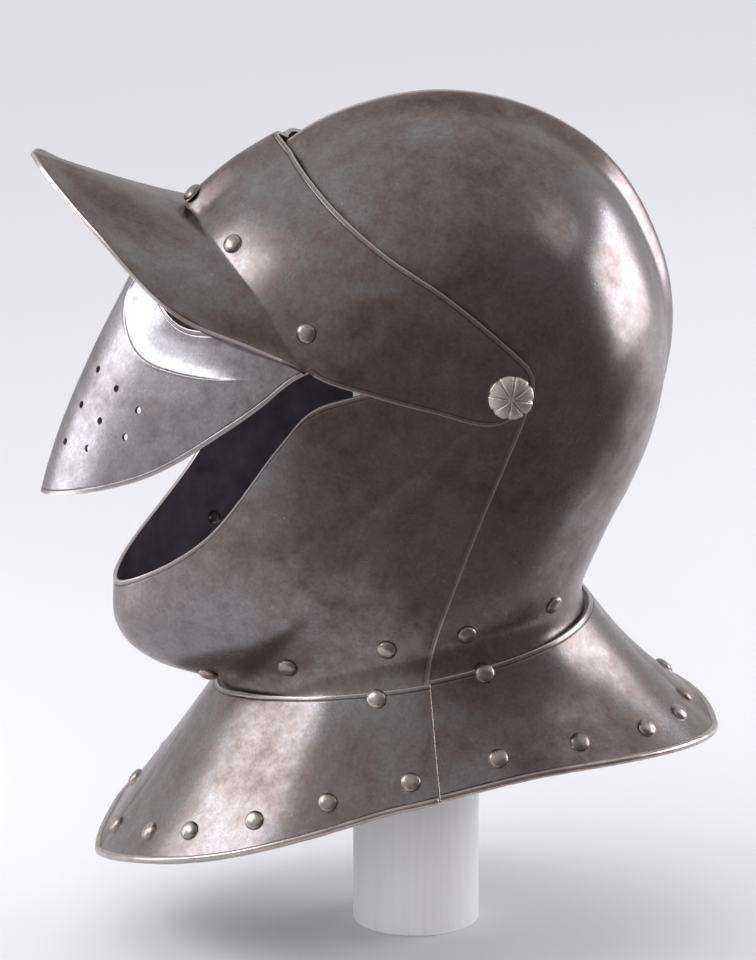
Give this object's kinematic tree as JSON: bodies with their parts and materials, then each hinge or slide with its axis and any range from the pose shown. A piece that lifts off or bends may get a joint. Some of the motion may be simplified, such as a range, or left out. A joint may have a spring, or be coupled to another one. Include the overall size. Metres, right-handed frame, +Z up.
{
  "type": "savoyard helmet on a post",
  "caption": "Closed steel helmet with a peaked visor and bevor that lift on side pivots and a flared riveted collar, standing on a plain round white post.",
  "frame": {"origin": "middle of the post base", "axes": "+Z up, -X the way the helmet faces, -Y the wearer's left"},
  "size_m": [0.317, 0.2062, 0.4012],
  "materials": {
    "dark_steel": "dark brown patinated polished steel",
    "guard_steel": "brighter polished steel",
    "rivet_steel": "worn dark steel",
    "bright_steel": "worn bright steel",
    "white_paint": "brushed white paint on wood"
  },
  "bodies": {
    "skull_body": {"rear_collar": "dark_steel", "rear_collar_rivet_1_left": "rivet_steel", "rear_collar_rivet_1_right": "rivet_steel", "rear_collar_rivet_2_left": "rivet_steel", "rear_collar_rivet_2_right": "rivet_steel", "rear_collar_rivet_3_left": "rivet_steel", "rear_collar_rivet_3_right": "rivet_steel", "rear_collar_rivet_4_left": "rivet_steel", "rear_collar_rivet_4_right": "rivet_steel", "rear_collar_rivet_middle": "rivet_steel", "rear_collar_rivet_top_left": "rivet_steel", "rear_collar_rivet_top_right": "rivet_steel", "rosette_left": "bright_steel", "rosette_right": "bright_steel", "skull": "dark_steel", "skull_rivet_rear_left": "rivet_steel", "skull_rivet_rear_right": "rivet_steel", "skull_rivet_side_left": "rivet_steel", "skull_rivet_side_right": "rivet_steel", "stand_post": "white_paint"},
    "bevor_body": {"bevor": "dark_steel", "bevor_rivet_1_left": "rivet_steel", "bevor_rivet_1_right": "rivet_steel", "bevor_rivet_2_left": "rivet_steel", "bevor_rivet_2_right": "rivet_steel", "bevor_rivet_3_left": "rivet_steel", "bevor_rivet_3_right": "rivet_steel", "bevor_rivet_cheek": "rivet_steel", "front_collar": "dark_steel", "front_collar_rivet_1_left": "rivet_steel", "front_collar_rivet_1_right": "rivet_steel", "front_collar_rivet_2_left": "rivet_steel", "front_collar_rivet_2_right": "rivet_steel", "front_collar_rivet_3_left": "rivet_steel", "front_collar_rivet_3_right": "rivet_steel", "front_collar_rivet_4_left": "rivet_steel", "front_collar_rivet_4_right": "rivet_steel", "front_collar_rivet_5_left": "rivet_steel", "front_collar_rivet_5_right": "rivet_steel", "front_collar_rivet_middle": "rivet_steel", "front_collar_rivet_top_left": "rivet_steel", "front_collar_rivet_top_right": "rivet_steel"},
    "visor_body": {"band_rivet_front_left": "rivet_steel", "band_rivet_front_right": "rivet_steel", "band_rivet_middle": "rivet_steel", "band_rivet_side_left": "rivet_steel", "band_rivet_side_right": "rivet_steel", "brow_band": "dark_steel", "face_guard": "guard_steel"}
  },
  "joints": [
    {"name": "bevor_hinge", "type": "hinge", "parent": "skull_body", "child": "bevor_body", "pos_m": [0.034, 0, 0.2825], "axis": [0, 1, 0], "range_deg": [0, 50]},
    {"name": "visor_hinge", "type": "hinge", "parent": "bevor_body", "child": "visor_body", "pos_m": [0.034, 0, 0.2825], "axis": [0, 1, 0], "range_deg": [-16, 58]}
  ]
}
